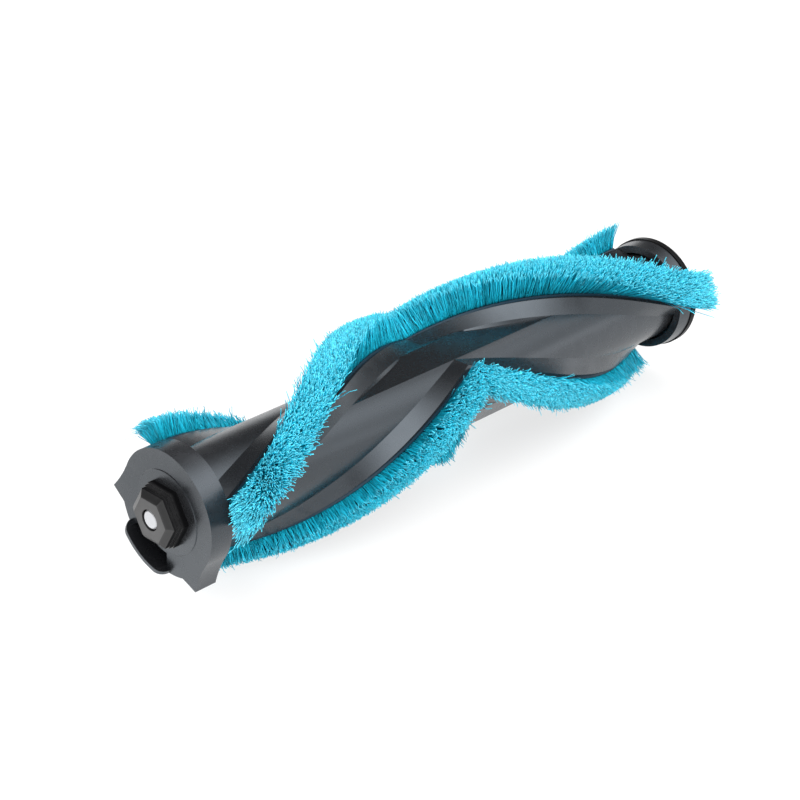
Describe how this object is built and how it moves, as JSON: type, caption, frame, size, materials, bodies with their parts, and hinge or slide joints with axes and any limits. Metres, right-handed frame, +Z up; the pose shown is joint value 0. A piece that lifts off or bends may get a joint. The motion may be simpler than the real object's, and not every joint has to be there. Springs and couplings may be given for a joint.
{
  "type": "vacuum roller brush",
  "caption": "Roller brush of a floor vacuum: dark grey core with V ribs carrying turquoise bristle strips, a bearing end cap with finger lip and hex block, and a drive collar.",
  "frame": {"origin": "on the roller's axis, in the plane of the end cap's front face, where the bearing block stands", "axes": "+X along the roller's axis from the end cap to the drive end, +Z up, +Y to the back"},
  "size_m": [0.1842, 0.0427, 0.0427],
  "materials": {
    "cap_plastic": "satin moulded, dark grey",
    "block_plastic": "smooth, near black",
    "bush_bronze": "sintered bronze",
    "pin_steel": "ground steel",
    "washer_nylon": "natural nylon",
    "hub_plastic": "moulded, dark grey",
    "core_plastic": "satin moulded, dark grey",
    "collar_plastic": "satin moulded, dark grey",
    "ring_plastic": "smooth black",
    "dog_plastic": "moulded black",
    "backing_plastic": "dark blue extrusion",
    "bristle_nylon": "turquoise nylon bristles"
  },
  "bodies": {
    "bearing_end": {"end_cap": "cap_plastic", "bearing_block": "block_plastic", "bearing_bush": "bush_bronze"},
    "roller": {"axle_pin": "pin_steel", "thrust_washer": "washer_nylon", "axle_hub": "hub_plastic", "roller_core": "core_plastic", "drive_collar": "collar_plastic", "end_ring": "ring_plastic", "drive_dog": "dog_plastic", "strip_backing_left_1": "backing_plastic", "strip_backing_left_2": "backing_plastic", "strip_backing_left_3": "backing_plastic", "strip_backing_right_1": "backing_plastic", "strip_backing_right_2": "backing_plastic", "strip_backing_right_3": "backing_plastic", "bristles_left_1": "bristle_nylon", "bristles_left_2": "bristle_nylon", "bristles_left_3": "bristle_nylon", "bristles_right_1": "bristle_nylon", "bristles_right_2": "bristle_nylon", "bristles_right_3": "bristle_nylon"}
  },
  "joints": [
    {"name": "roller_spin", "type": "hinge", "parent": "bearing_end", "child": "roller", "pos_m": [0, 0, 0], "axis": [1, 0, 0], "continuous": true}
  ]
}
